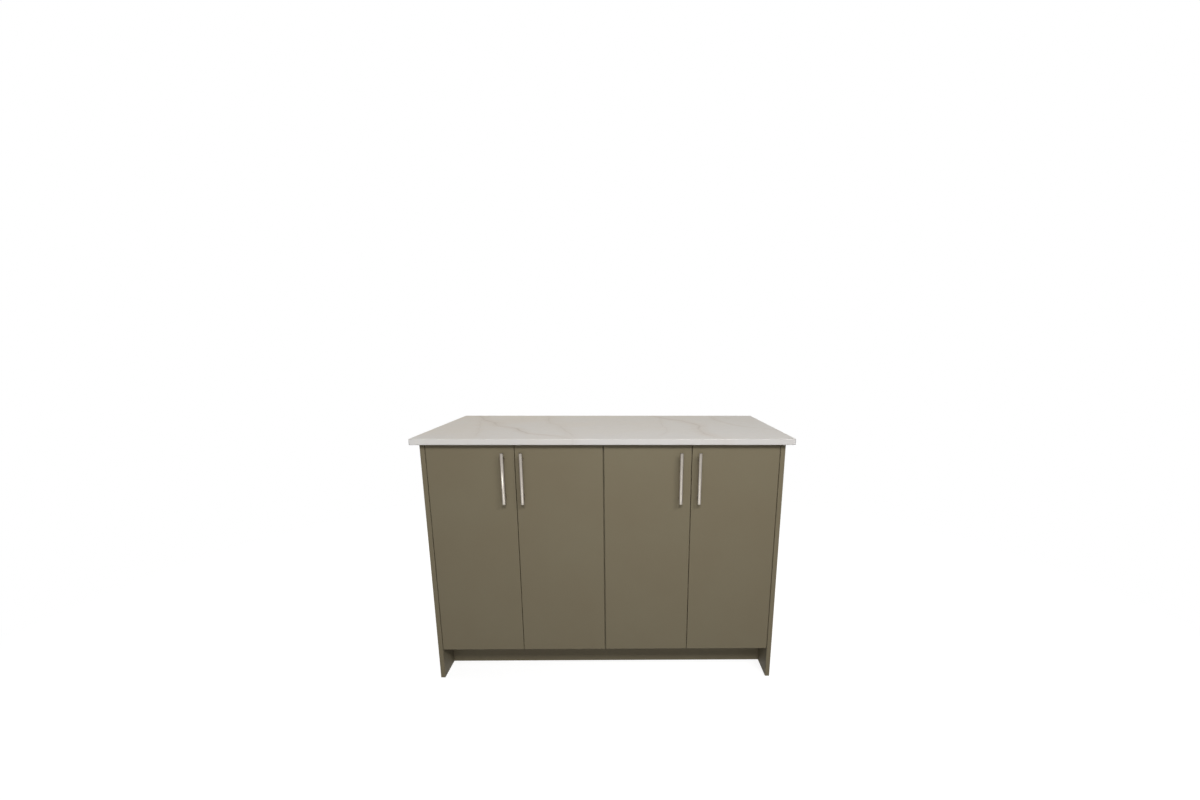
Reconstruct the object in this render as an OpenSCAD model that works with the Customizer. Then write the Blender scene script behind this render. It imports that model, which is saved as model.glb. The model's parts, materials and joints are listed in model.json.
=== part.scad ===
// Kitchen island unit: two double-door base cabinets side by side under one stone worktop,
// closed in by two end panels, a back panel and a recessed plinth.
// Millimetres. +Z is up, +X runs to the right as seen from the doors, and the doors face -Y.
// The origin is on the floor, under the middle of the whole unit with its worktop and handles.

/* [Unit] */
// Width over the outsides of the two end panels
unit_width = 1220; // [1000:10:1800]
// Height from the floor to the underside of the worktop
unit_height = 876; // [820:2:940]
// Depth of one cabinet box, without its doors and back panel
box_depth = 578; // [500:2:640]
// Height of the toe space under the cabinet boxes
toe_height = 114; // [100:2:150]
// Distance of the plinth's face behind the door fronts
plinth_recess = 109; // [60:1:125]

/* [Boards] */
// Thickness of the boards of the cabinet boxes
board = 16; // [15:0.5:19]
// Thickness of the end panels, the back panel and the plinth
panel_thickness = 16; // [15:0.5:22]
// Thickness of the thin backs of the cabinet boxes
thin_back = 6; // [3:0.5:8]
// Depth of the groove that holds a thin back
groove_depth = 8; // [5:0.5:9]
// Slack of a thin back in its groove
groove_slack = 0.4; // [0.1:0.1:0.8]
// Depth of the front rail and height of the back rail
rail_width = 100; // [70:5:140]
// Chamfer on the edges of the painted boards
board_ease = 0.8; // [0.3:0.1:1.5]

/* [Worktop] */
// Thickness of the stone slab
worktop_thickness = 20; // [12:1:40]
// Overhang of the slab past the panels and past the door fronts
worktop_overhang = 26; // [10:1:40]
// Plan radius of the slab's corners
worktop_corner = 6; // [3:1:20]
// Chamfer along the slab's edges
worktop_ease = 2; // [0.5:0.25:3]

/* [Doors] */
// Thickness of a door
door_thickness = 16; // [16:0.5:19]
// Gap between a door's hinge edge and the end panel, or the middle of the unit
door_hinge_gap = 2; // [1.5:0.25:3]
// Gap between the two doors of a pair
door_pair_gap = 2; // [1.5:0.25:4]
// Gap between a door's top and the worktop
door_top_gap = 4; // [2:0.5:8]
// Height of a door's bottom edge above the bottom of its box
door_bottom_lift = 1.5; // [0:0.5:6]
// Gap between a closed door and the front of its box
door_standoff = 2; // [2:0.1:3]
// Diameter of a door bumper
bumper_d = 8; // [6:0.5:10]
// Air left between a bumper and the box when the door is closed
bumper_air = 0.3; // [0.2:0.05:0.6]

/* [Handles] */
// Length of a handle bar
handle_length = 175; // [150:1:260]
// Diameter of a handle bar
handle_d = 12; // [10:0.5:14]
// Distance between the two posts of a handle
handle_post_pitch = 128; // [96:32:128]
// Diameter of a handle post
handle_post_d = 9; // [6:0.5:10]
// Distance that a handle stands out from its door
handle_projection = 33; // [28:1:45]
// Distance from a bar's top end to the top edge of its door
handle_top_inset = 23; // [12:1:60]
// Distance from the bar's axis to the door's free edge, doors hung on their left
handle_edge_left_hung = 35.8; // [24:0.1:50]
// Distance from the bar's axis to the door's free edge, doors hung on their right
handle_edge_right_hung = 24.2; // [20:0.1:50]
// Diameter of a handle screw's shank
handle_screw_d = 4; // [3.5:0.5:5]

/* [Shelves] */
// Distance of a shelf's front edge behind the front of its box
shelf_setback = 20; // [10:5:120]
// Gap at each end of a shelf
shelf_end_gap = 1; // [0.5:0.5:2]
// Diameter of the shelf pins and their holes
shelf_pin_d = 5; // [4:0.5:6]
// Pitch of the rows of holes
hole_pitch = 32; // [25:1:40]
// Holes above and below the middle one in each row
holes_each_way = 3; // [1:1:4]
// Distance of the first row of holes behind the front of the box
front_row = 37; // [37:1:50]
// Distance of the rear row of holes ahead of the rear of the box
rear_row_inset = 93; // [60:1:150]

/* [Hinges] */
// Distance of a hinge from the nearer end of its door
hinge_inset = 100; // [80:5:130]
// Diameter of a hinge cup's bore
cup_d = 35; // [34:0.5:36]
// Depth of a hinge cup's bore
cup_depth = 11.5; // [11:0.1:11.5]
// Distance from the door's edge to the cup's bore
cup_edge = 5; // [4.8:0.1:5.2]
// Thickness of the links' strip
link_thickness = 1.8; // [1.2:0.1:2.2]
// Diameter of the link pins
link_pin_d = 2; // [1.6:0.1:2.2]
// Running clearance of a link on its pin, all round
link_play = 0.05; // [0.02:0.01:0.1]

/* [Legs] */
// Diameter of a leg's foot disc
foot_d = 60; // [50:1:70]
// Diameter of a leg's stem
stem_d = 28; // [24:1:32]
// Clearance of the stem in its socket, all round
stem_play = 0.3; // [0.2:0.05:0.5]
// Length of a leg's socket tube
socket_length = 40; // [30:1:45]
// Distance of a leg's axis from the side of its box
leg_side_inset = 70; // [50:5:120]
// Distance of a rear leg's axis from the rear of its box
leg_rear_inset = 70; // [50:5:120]
// Distance from the plinth's back to the axis of a front leg
leg_plinth_reach = 35; // [35:1:45]

/* [Hidden] */
$fn = 48;

// Colours
paint = [0.46, 0.43, 0.35];
melamine = [0.93, 0.92, 0.90];
stone = [0.84, 0.82, 0.79];
nickel = [0.72, 0.69, 0.66];
zinc = [0.66, 0.67, 0.68];
black_plastic = [0.12, 0.12, 0.13];
clear_rubber = [0.80, 0.80, 0.78];

// Depths, from the doors' front face backwards, then heights
box_front_v = door_thickness + door_standoff;
box_back_v = box_front_v + box_depth;
unit_back_v = box_back_v + panel_thickness;
front_reach = max(handle_projection, worktop_overhang);
front_y = front_reach - (front_reach + unit_back_v + worktop_overhang) / 2;
box_front = front_y + box_front_v;
box_back = front_y + box_back_v;
cabinet_width = unit_width / 2 - panel_thickness;
box_height = unit_height - toe_height;
inner_width = cabinet_width - 2 * board;

// Thin back: it bears on the back rail, which is flush with the rear of the box
thin_back_rear = box_back - board;
thin_back_front = thin_back_rear - thin_back;

// Doors, numbered 1 to 4 from the left; odd ones are hung on their left edge
door_width = cabinet_width / 2 - door_hinge_gap - door_pair_gap / 2;
door_bottom = toe_height + door_bottom_lift;
door_height = unit_height - door_top_gap - door_bottom;
door_top = door_bottom + door_height;
hinge_heights = [door_bottom + hinge_inset, door_top - hinge_inset];

// Handles
bar_r = handle_d / 2;
bar_v = bar_r - handle_projection;
bar_bottom = door_top - handle_top_inset - handle_length;
bar_ease = 0.6;
post_heights = [for (k = [-1, 1]) bar_bottom + handle_length / 2 + k * handle_post_pitch / 2];
handle_screw_grip = 12;
handle_screw_head_d = 8;
handle_screw_head = 2.4;
handle_hole_slack = 0.3;
cross_slot = [1, 5];
cross_slot_depth = 1.2;

// Concealed hinge, in the door's frame: u runs from the hinge edge of the door towards its
// free edge and v from its front face inwards. Each link bends once at its knee, so that it
// wraps round the rim of the cup when the door is open. Pivots on the arm are measured in from
// the box side and back from the box front, those in the cup and the knees in from the edge of
// the cup's bore and forward from its rim.
rim_v = door_thickness;
side_face_u = board - door_hinge_gap;
arm_inner_in = 9.4;
arm_inner_back = 14;
arm_outer_in = 13.2;
arm_outer_back = 4.7;
cup_inner_in = 3.5;
cup_inner_deep = 4.2;
cup_outer_in = 5.9;
cup_outer_deep = 8.3;
knee_inner_in = 10.3;
knee_inner_deep = 6.4;
knee_outer_in = 19.2;
knee_outer_deep = 9.1;
arm_pivot_inner = [side_face_u + arm_inner_in, box_front_v + arm_inner_back];
arm_pivot_outer = [side_face_u + arm_outer_in, box_front_v + arm_outer_back];
cup_pivot_inner = [cup_edge + cup_inner_in, rim_v - cup_inner_deep];
cup_pivot_outer = [cup_edge + cup_outer_in, rim_v - cup_outer_deep];
knee_inner = [cup_edge + knee_inner_in, rim_v - knee_inner_deep];
knee_outer = [cup_edge + knee_outer_in, rim_v - knee_outer_deep];
eye_r = 1.9;
pin_r = link_pin_d / 2;
cup_axis_u = cup_edge + cup_d / 2;
cup_wall = 0.8;
cup_slack = 0.1;
cup_floor_slack = 0.2;
cup_flange = 0.8;
cup_flange_r = 18.5;
cup_bar_offset = 9.5;
cup_bar_width = 12;
cup_screw_z = 22.5;
cup_screw_r = 1.5;
cup_screw_length = 9;
cup_screw_head_r = 3.2;
cup_screw_head = 0.7;
cup_pin_bite = 0.3;
inner_link_half = 3;
link_gap = 0.3;
outer_link_cheek = 1.8;
outer_link_half = inner_link_half + link_gap + outer_link_cheek;
outer_pin_half = outer_link_half + 1;
pin_hole_margin = 1;
web_start = 2;
web_length = 8;
web_thickness = 1.2;
web_lap = 0.3;
arm_wall = 1.4;
arm_clearance = 0.4;
arm_half = outer_link_half + arm_clearance + arm_wall;
arm_web_in = 12;
arm_web_thickness = 1.2;
arm_web = [side_face_u + arm_web_in, side_face_u + arm_web_in + arm_web_thickness];
arm_web_setback = 7;
arm_low_in = 4.5;
arm_low = side_face_u + arm_low_in;
arm_low_setback = 10;
arm_reach = 68;
arm_rear_v = box_front_v + arm_reach;
arm_nose_r = 2.4;
arm_nose_length = 8;
arm_pin_proud = 0.5;
adjuster_places = [-7, 9];
adjuster_head = [3.4, 1.6];
adjuster_slot = [1, 8];
adjuster_slot_depth = 0.8;
plate_base = 2;
plate_slack = 0.3;
plate_centre_v = box_front_v + front_row;
plate_width = 14;
plate_length = 52;
plate_block = [30, 2 * (arm_half - arm_wall - plate_slack)];
plate_block_wall = 1.5;
plate_block_front = 8;
plate_screw_z = 16;
plate_screw_r = 2.5;
plate_screw_length = 11;
plate_screw_head = [4.2, 1.6];

// Shelf pins and system holes
shelf_mid = (toe_height + board + unit_height - board) / 2;
pin_r_shelf = shelf_pin_d / 2;
pin_hole_depth = 10;
pin_tab = [9, 8, 2.5];
pin_collar = [4, 1.5];
shelf_pin_z = shelf_mid - board / 2 - pin_tab[2];
shelf_rear_gap = 2;
shelf_depth = box_depth - board - thin_back - shelf_setback - shelf_rear_gap;
rear_row = box_depth - rear_row_inset;

// Legs
socket_plate = 4;
socket_wall = 3.4;
spigot_r = 5;
spigot_length = 10;
spigot_offset = 22;
stem_r = stem_d / 2;
stem_chamfer = 1;
socket_rib = [2.5, 0.6];
foot_disc = 6;
foot_chamfer = 1.5;
foot_rib = 2.4;
rib_lap = 0.5;
front_leg_y = front_y + plinth_recess + panel_thickness + leg_plinth_reach;
leg_xs = [-leg_side_inset, leg_side_inset - cabinet_width];
leg_places = [for (x = leg_xs) for (y = [front_leg_y, box_back - leg_rear_inset]) [x, y]];

// Plinth
plinth_air = 1;
plinth_back = front_y + plinth_recess + panel_thickness;
clip_height = 18;
clip_z = 48;
clip_wall = 3;
clip_plate = [36, 3, 40];
clip_screw_z = 14;
clip_screw_r = 1.5;
clip_screw_length = 12;
clip_screw_head = [3.4, 2];
clip_neck = 12;
clip_mouth = 0.7 * stem_d;

// Collar of a foot, turned to level the unit, just below its clip
collar_height = 8;
collar_reach = 4;
collar_gap = 4;
collar_z = clip_z - clip_height / 2 - collar_gap - collar_height;
collar_notch_r = 1.8;

// Screws that join the boards: [distance behind the box front, height], and their sizes
screw_r = 3;
screw_length = 48;
screw_head = [4.9, 3];
screw_sink = 0.3;
base_screw_inset = 50;
rail_screw_inset = 25;
base_screws = [
    for (v = [base_screw_inset, box_depth / 2, box_depth - base_screw_inset])
        [v, toe_height + board / 2]
];
rail_screws = [
    for (v = [rail_screw_inset, rail_width - rail_screw_inset]) [v, unit_height - board / 2]
];
back_rail_screws = [[box_depth - board / 2, unit_height - rail_width / 2]];
carcass_screw_places = concat(base_screws, rail_screws, back_rail_screws);

// Fixings through the sides: into the neighbouring box, or into the end panel
fixing_inset = 90;
fixing_rise = 80;
fixing_drop = 130;
side_fixings = [
    for (v = [fixing_inset, box_depth - fixing_inset])
        for (z = [toe_height + fixing_rise, unit_height - fixing_drop]) [v, z]
];
bolt_r = 4;
bolt_head = [8, 2.5];
bolt_key_r = 2.5;
bolt_key_depth = 1.5;
panel_screw_r = 2;
panel_screw_head = [4.5, 2];
panel_screw_bite = 12;
back_fixing_spread = 120;
back_fixing_drop = 45;
back_fixing_xs = [for (s = [-1, 1]) cabinet_width / 2 + s * back_fixing_spread];
back_fixing_z = unit_height - back_fixing_drop;

// ---------- shared shapes ----------

// A rectangle from the origin with its four corners cut off
module eased_rect(w, h, ease) {
    polygon([
        [ease, 0], [w - ease, 0], [w, ease], [w, h - ease],
        [w - ease, h], [ease, h], [0, h - ease], [0, ease]
    ]);
}

// A board from the origin with all twelve edges chamfered
module eased_board(size, ease) {
    intersection() {
        linear_extrude(size[2]) eased_rect(size[0], size[1], ease);
        translate([0, size[1], 0]) rotate([90, 0, 0])
            linear_extrude(size[1]) eased_rect(size[0], size[2], ease);
        rotate([90, 0, 90]) linear_extrude(size[0]) eased_rect(size[1], size[2], ease);
    }
}

// A flat bar along X with round ends, centred on the origin
module round_bar(length, width) {
    square([length - width, width], center = true);
    for (s = [-1, 1]) translate([s * (length - width) / 2, 0]) circle(r = width / 2);
}

// Round bars along X and along Y, starting at the origin
module bar_x(r, length) rotate([0, 90, 0]) cylinder(r = r, h = length);
module bar_y(r, length) rotate([-90, 0, 0]) cylinder(r = r, h = length);

// Places its children at the right cabinet as a mirror image of the left one
module right_of_centre() mirror([1, 0, 0]) children();

// Places its children in the frame of door n: x is u, y is v, z stays the height
module at_door(n) {
    edge_x = [
        -cabinet_width + door_hinge_gap, -door_hinge_gap, door_hinge_gap,
        cabinet_width - door_hinge_gap
    ][n - 1];
    translate([edge_x, front_y, 0]) {
        if (n % 2 == 1) children();
        else mirror([1, 0, 0]) children();
    }
}

module at_hinges(n) at_door(n) for (z = hinge_heights) translate([0, 0, z]) children();

// ---------- stone and painted boards ----------

module worktop() {
    length = unit_width + 2 * worktop_overhang;
    depth = unit_back_v + 2 * worktop_overhang;
    corner = worktop_corner;
    color(stone) translate([-length / 2, front_y - worktop_overhang, unit_height])
        intersection() {
            eased_board([length, depth, worktop_thickness], worktop_ease);
            linear_extrude(worktop_thickness) union() {
                translate([corner, 0]) square([length - 2 * corner, depth]);
                translate([0, corner]) square([length, depth - 2 * corner]);
                for (x = [corner, length - corner])
                    for (y = [corner, depth - corner]) translate([x, y]) circle(r = corner);
            }
        }
}

// The left end panel, with blind holes for the screws that come through the box side
module end_panel() {
    color(paint) difference() {
        translate([-unit_width / 2, front_y, 0])
            eased_board([panel_thickness, unit_back_v, unit_height], board_ease);
        for (p = side_fixings)
            translate([-cabinet_width - panel_screw_bite, box_front + p[0], p[1]])
                bar_x(panel_screw_r, panel_screw_bite + 1);
    }
}

module back_panel() {
    color(paint) difference() {
        translate([-cabinet_width, box_back, 0])
            eased_board([2 * cabinet_width, panel_thickness, unit_height], board_ease);
        for (x = back_fixing_xs)
            for (s = [-1, 1]) translate([s * x, box_back - 1, back_fixing_z])
                bar_y(panel_screw_r, panel_screw_bite + 1);
    }
}

module plinth() {
    color(paint) difference() {
        translate([-cabinet_width, plinth_back - panel_thickness, plinth_air])
            eased_board(
                [2 * cabinet_width, panel_thickness, toe_height - 2 * plinth_air], board_ease
            );
        at_front_legs() for (s = [-1, 1])
            translate([0, -leg_plinth_reach - clip_screw_length, clip_z + s * clip_screw_z])
                bar_y(clip_screw_r, clip_screw_length + 1);
    }
}

// ---------- cabinet boxes, drawn for the left one ----------

module cabinet_side(x, outer) {
    fixing_r = outer ? panel_screw_r : bolt_r;
    inside = x < -cabinet_width / 2 ? x + board : x;
    into_box = x < -cabinet_width / 2 ? 1 : -1;
    color(melamine) difference() {
        translate([x, box_front, toe_height]) cube([board, box_depth, box_height]);
        // groove for the thin back
        translate([min(inside, inside - into_box * groove_depth), thin_back_front - groove_slack,
                toe_height - 1])
            cube([groove_depth, thin_back + groove_slack, box_height + 2]);
        // system holes for the shelf pins
        for (row = [front_row, rear_row])
            for (k = [-holes_each_way : holes_each_way])
                side_bore(inside, into_box, row, shelf_pin_z + pin_tab[2] / 2 + k * hole_pitch,
                    pin_r_shelf, pin_hole_depth);
        // screws of the hinge plates
        for (z = hinge_heights)
            for (s = [-1, 1])
                side_bore(inside, into_box, front_row, z + s * plate_screw_z,
                    plate_screw_r, plate_screw_length);
        // fixings right through, and the countersunk screws into base and rails
        for (p = side_fixings) translate([x - 1, box_front + p[0], p[1]]) bar_x(fixing_r, board + 2);
        for (p = carcass_screw_places) {
            translate([x - 1, box_front + p[0], p[1]]) bar_x(screw_r, board + 2);
            side_bore(inside - into_box * board, -into_box, p[0], p[1],
                screw_head[0], screw_head[1] + screw_sink);
        }
    }
}

// A blind hole along X, sunk from the plane at x against the direction facing
module side_bore(x, facing, v, z, r, depth) {
    translate([facing > 0 ? x - depth : x - 1, box_front + v, z]) bar_x(r, depth + 1);
}

// Removes the pilot holes of the screws at both ends of a board between the sides
module pilot_holes(places) {
    reach = screw_length - board + screw_sink;
    for (p = places) {
        translate([-cabinet_width + board - 1, box_front + p[0], p[1]]) bar_x(screw_r, reach + 1);
        translate([-board - reach, box_front + p[0], p[1]]) bar_x(screw_r, reach + 1);
    }
}

module cabinet_base() {
    color(melamine) difference() {
        translate([-cabinet_width + board, box_front, toe_height])
            cube([inner_width, box_depth, board]);
        translate([-cabinet_width, thin_back_front - groove_slack,
                toe_height + board - groove_depth])
            cube([cabinet_width, thin_back + groove_slack, groove_depth + 1]);
        pilot_holes(base_screws);
        for (p = leg_places)
            for (s = [-1, 1]) translate([p[0] + s * spigot_offset, p[1], toe_height - 1])
                cylinder(r = spigot_r, h = spigot_length + 1);
    }
}

module cabinet_thin_back() {
    width = inner_width + 2 * (groove_depth - groove_slack);
    bottom = toe_height + board - groove_depth;
    color(melamine) difference() {
        translate([-cabinet_width / 2 - width / 2, thin_back_front, bottom])
            cube([width, thin_back, unit_height - bottom]);
        for (x = back_fixing_xs) translate([-x, thin_back_front - 1, back_fixing_z])
            bar_y(panel_screw_r, thin_back + 2);
    }
}

module cabinet_front_rail() {
    color(melamine) difference() {
        translate([-cabinet_width + board, box_front, unit_height - board])
            cube([inner_width, rail_width, board]);
        pilot_holes(rail_screws);
    }
}

module cabinet_back_rail() {
    color(melamine) difference() {
        translate([-cabinet_width + board, box_back - board, unit_height - rail_width])
            cube([inner_width, board, rail_width]);
        pilot_holes(back_rail_screws);
        for (x = back_fixing_xs) translate([-x, box_back - board - 1, back_fixing_z])
            bar_y(panel_screw_r, board + 2);
    }
}

module cabinet_shelf() {
    color(melamine)
        translate([-cabinet_width + board + shelf_end_gap, box_front + shelf_setback,
                shelf_mid - board / 2])
            cube([inner_width - 2 * shelf_end_gap, shelf_depth, board]);
}

// ---------- small fittings of the boxes ----------

// A pin in the left side's hole, with a flat tab under the shelf
module shelf_pin() {
    translate([-pin_hole_depth, 0, 0]) bar_x(pin_r_shelf, pin_hole_depth);
    bar_x(pin_collar[0], pin_collar[1]);
    translate([0, -pin_tab[1] / 2, -pin_tab[2] / 2]) cube(pin_tab);
}

module shelf_pins() {
    z = shelf_pin_z + pin_tab[2] / 2;
    color(zinc) for (side = [0, 1]) mirror([side, 0, 0])
        for (v = [front_row, rear_row]) {
            translate([-cabinet_width + board, box_front + v, z]) trimmed_shelf_pin();
            translate([-board, box_front + v, z]) mirror([1, 0, 0]) trimmed_shelf_pin();
        }
}

// The collar is cut level with the tab, so that the shelf lies flat on both
module trimmed_shelf_pin() {
    difference() {
        shelf_pin();
        translate([0, -pin_tab[1], pin_tab[2] / 2]) cube([pin_tab[0] + 1, 2 * pin_tab[1], 10]);
    }
}

module at_legs() {
    for (side = [0, 1]) mirror([side, 0, 0])
        for (p = leg_places) translate([p[0], p[1], 0]) children();
}

module at_front_legs() {
    for (side = [0, 1]) mirror([side, 0, 0])
        for (x = leg_xs) translate([x, front_leg_y, 0]) children();
}

// A triangular rib that leans from the radius r outwards, over the height given
module rib(r, reach, height, thickness) {
    translate([0, thickness / 2, 0]) rotate([90, 0, 0])
        linear_extrude(thickness) polygon([[r, 0], [r + reach, 0], [r, height]]);
}

module leg_sockets() {
    tube_r = stem_r + stem_play + socket_wall;
    plate_r = foot_d / 2;
    color(black_plastic) at_legs() {
        difference() {
            union() {
                translate([0, 0, toe_height - socket_plate]) cylinder(r = plate_r, h = socket_plate);
                translate([0, 0, toe_height - socket_plate - socket_length])
                    cylinder(r = tube_r, h = socket_length);
                for (a = [45 : 90 : 315]) rotate([0, 0, a])
                    translate([0, 0, toe_height - socket_plate]) mirror([0, 0, 1])
                        rib(tube_r - rib_lap, plate_r - tube_r - 2 * rib_lap,
                            socket_length * socket_rib[1], socket_rib[0]);
            }
            translate([0, 0, toe_height - socket_plate - socket_length - 1])
                cylinder(r = stem_r + stem_play, h = socket_length + 1);
        }
        for (s = [-1, 1]) translate([s * spigot_offset, 0, toe_height])
            cylinder(r = spigot_r, h = spigot_length);
    }
}

// The foot: disc on the floor, ribs, notched adjusting collar and stem up to the socket's top
module leg_feet() {
    stem_top = toe_height - socket_plate;
    disc_r = foot_d / 2;
    collar_r = stem_r + collar_reach;
    collar_top = collar_z + collar_height;
    color(black_plastic) at_legs() difference() {
        union() {
            rotate_extrude() polygon([
                [0, 0], [disc_r - foot_chamfer, 0], [disc_r, foot_chamfer],
                [disc_r, foot_disc - stem_chamfer], [disc_r - stem_chamfer, foot_disc],
                [stem_r, foot_disc], [stem_r, collar_z], [collar_r, collar_z],
                [collar_r, collar_top], [stem_r, collar_top], [stem_r, stem_top - stem_chamfer],
                [stem_r - stem_chamfer, stem_top], [0, stem_top]
            ]);
            for (a = [0 : 45 : 315]) rotate([0, 0, a])
                translate([0, 0, foot_disc - rib_lap])
                    rib(stem_r - rib_lap, disc_r - stem_r - 4 * rib_lap,
                        collar_z - foot_disc - 6 * rib_lap, foot_rib);
        }
        for (a = [15 : 30 : 345]) rotate([0, 0, a])
            translate([collar_r + rib_lap, 0, collar_z - 1])
                cylinder(r = collar_notch_r, h = collar_height + 2);
    }
}

// A clip on each front leg: a split ring round the stem, a neck, a plate and two screws
module plinth_clips() {
    ring_r = stem_r + clip_wall;
    neck_start = clip_plate[1] / 2 - leg_plinth_reach;
    color(black_plastic) at_front_legs() {
        translate([0, 0, clip_z - clip_height / 2]) difference() {
            union() {
                cylinder(r = ring_r, h = clip_height);
                translate([-clip_neck / 2, neck_start, 0])
                    cube([clip_neck, -stem_r - neck_start, clip_height]);
            }
            translate([0, 0, -1]) cylinder(r = stem_r, h = clip_height + 2);
            translate([-clip_mouth / 2, 0, -1]) cube([clip_mouth, ring_r + 1, clip_height + 2]);
        }
        difference() {
            translate([-clip_plate[0] / 2, -leg_plinth_reach, clip_z - clip_plate[2] / 2])
                cube(clip_plate);
            for (s = [-1, 1])
                translate([0, -leg_plinth_reach - 1, clip_z + s * clip_screw_z])
                    bar_y(clip_screw_r, clip_plate[1] + 2);
        }
    }
    color(zinc) at_front_legs() for (s = [-1, 1])
        translate([0, -leg_plinth_reach, clip_z + s * clip_screw_z]) {
            translate([0, -clip_screw_length, 0])
                bar_y(clip_screw_r, clip_screw_length + clip_plate[1]);
            translate([0, clip_plate[1], 0]) bar_y(clip_screw_head[0], clip_screw_head[1]);
        }
}

// Sleeve bolts that hold the two boxes together at their inner sides
module cabinet_bolts() {
    color(zinc) for (p = side_fixings) translate([0, box_front + p[0], p[1]]) {
        translate([-board, 0, 0]) bar_x(bolt_r, 2 * board);
        for (s = [0, 1]) mirror([s, 0, 0]) translate([board, 0, 0])
            difference() {
                bar_x(bolt_head[0], bolt_head[1]);
                // hexagon recess for the key
                translate([bolt_head[1] - bolt_key_depth, 0, 0]) rotate([0, 90, 0])
                    cylinder(r = bolt_key_r, h = bolt_key_depth + 1, $fn = 6);
            }
    }
}

// Flush-headed screws through the sides into the ends of the base and the rails
module carcass_screws() {
    color(zinc) for (side = [0, 1]) mirror([side, 0, 0])
        for (p = carcass_screw_places)
            for (end = [0, 1])
                translate([-end * cabinet_width, box_front + p[0], p[1]])
                    mirror([1 - end, 0, 0]) translate([screw_sink, 0, 0]) {
                        bar_x(screw_r, screw_length);
                        bar_x(screw_head[0], screw_head[1]);
                    }
}

module panel_screw(grip) {
    bar_x(panel_screw_r, grip + panel_screw_bite);
    translate([-panel_screw_head[1], 0, 0]) bar_x(panel_screw_head[0], panel_screw_head[1]);
}

// Screws from inside the boxes into the end panels and the back panel
module panel_screws() {
    color(zinc) for (side = [0, 1]) mirror([side, 0, 0]) {
        for (p = side_fixings)
            translate([-cabinet_width + board, box_front + p[0], p[1]])
                mirror([1, 0, 0]) panel_screw(board);
        for (x = back_fixing_xs)
            translate([-x, thin_back_front, back_fixing_z])
                rotate([0, 0, 90]) panel_screw(thin_back + board);
    }
}

// ---------- hinges ----------

// Unit vector of a plane vector, and the same turned a quarter turn to its left
function unit(a) = a / norm(a);
function left_of(a) = [-unit(a)[1], unit(a)[0]];

// A strip of the links' thickness bent at its middle point, from z0 to z1, with round eyes.
// The knee is mitred: its offset is the sum of both normals over one plus their product.
module bent_strip(points, z0, z1) {
    half = link_thickness / 2;
    first = left_of(points[1] - points[0]);
    second = left_of(points[2] - points[1]);
    knee = half * (first + second) / (1 + first * second);
    translate([0, 0, z0]) linear_extrude(z1 - z0) {
        polygon([
            points[0] + half * first, points[1] + knee, points[2] + half * second,
            points[2] - half * second, points[1] - knee, points[0] - half * first
        ]);
        for (p = [points[0], points[2]]) translate(p) circle(r = eye_r);
    }
}

// A pin or a pin hole at a pivot, through the half width given on both sides
module pivot(at, r, half) translate([at[0], at[1], -half]) cylinder(r = r, h = 2 * half);

module inner_links(n) {
    color(zinc) at_hinges(n) difference() {
        bent_strip([cup_pivot_inner, knee_inner, arm_pivot_inner],
            -inner_link_half, inner_link_half);
        pivot(cup_pivot_inner, pin_r + link_play, inner_link_half + pin_hole_margin);
        pivot(arm_pivot_inner, pin_r + link_play, inner_link_half + pin_hole_margin);
    }
}

// Two cheeks, a web that joins them on their outer side, and the cup pin across their ends
module outer_links(n) {
    inner_face = inner_link_half + link_gap;
    run = arm_pivot_outer - knee_outer;
    color(zinc) at_hinges(n) {
        difference() {
            union() {
                for (s = [0, 1]) mirror([0, 0, s])
                    bent_strip([cup_pivot_outer, knee_outer, arm_pivot_outer],
                        inner_face, outer_link_half);
                translate([knee_outer[0], knee_outer[1], 0])
                    rotate([0, 0, atan2(run[1], run[0])])
                        translate([web_start, -link_thickness / 2 - web_thickness, -outer_link_half])
                            cube([web_length, web_thickness + web_lap, 2 * outer_link_half]);
                pivot(cup_pivot_outer, pin_r, outer_pin_half);
            }
            pivot(arm_pivot_outer, pin_r + link_play, outer_link_half + pin_hole_margin);
        }
    }
}

// The arm: two cheeks with a web on top, both arm pins, and its two adjusting screws
module hinge_arms() {
    nose_r = arm_nose_r;
    inner = arm_pivot_inner;
    outer = arm_pivot_outer;
    web_front = inner[1] + arm_web_setback;
    color(zinc) for (n = [1 : 4]) at_hinges(n) {
        for (s = [0, 1]) mirror([0, 0, s]) translate([0, 0, arm_half - arm_wall])
            linear_extrude(arm_wall) {
                polygon([
                    [arm_low, arm_rear_v], [arm_web[1], arm_rear_v], [arm_web[1], web_front],
                    [outer[0] + nose_r, outer[1] + arm_nose_length], [outer[0] + nose_r, outer[1]],
                    [outer[0] - nose_r, outer[1]], [inner[0] - nose_r, inner[1]],
                    [arm_low, inner[1] + arm_low_setback]
                ]);
                translate(inner) circle(r = nose_r);
                translate(outer) circle(r = nose_r);
            }
        translate([arm_web[0], web_front, -arm_half])
            cube([arm_web[1] - arm_web[0], arm_rear_v - web_front, 2 * arm_half]);
        pivot(inner, pin_r, arm_half + arm_pin_proud);
        pivot(outer, pin_r, arm_half + arm_pin_proud);
        for (place = adjuster_places) translate([arm_web[1], plate_centre_v + place, 0])
            difference() {
                bar_x(adjuster_head[0], adjuster_head[1]);
                for (a = [0, 90]) rotate([a, 0, 0])
                    translate([adjuster_head[1] - adjuster_slot_depth,
                            -adjuster_slot[1] / 2, -adjuster_slot[0] / 2])
                        cube([adjuster_slot_depth + 1, adjuster_slot[1], adjuster_slot[0]]);
            }
    }
}

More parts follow.
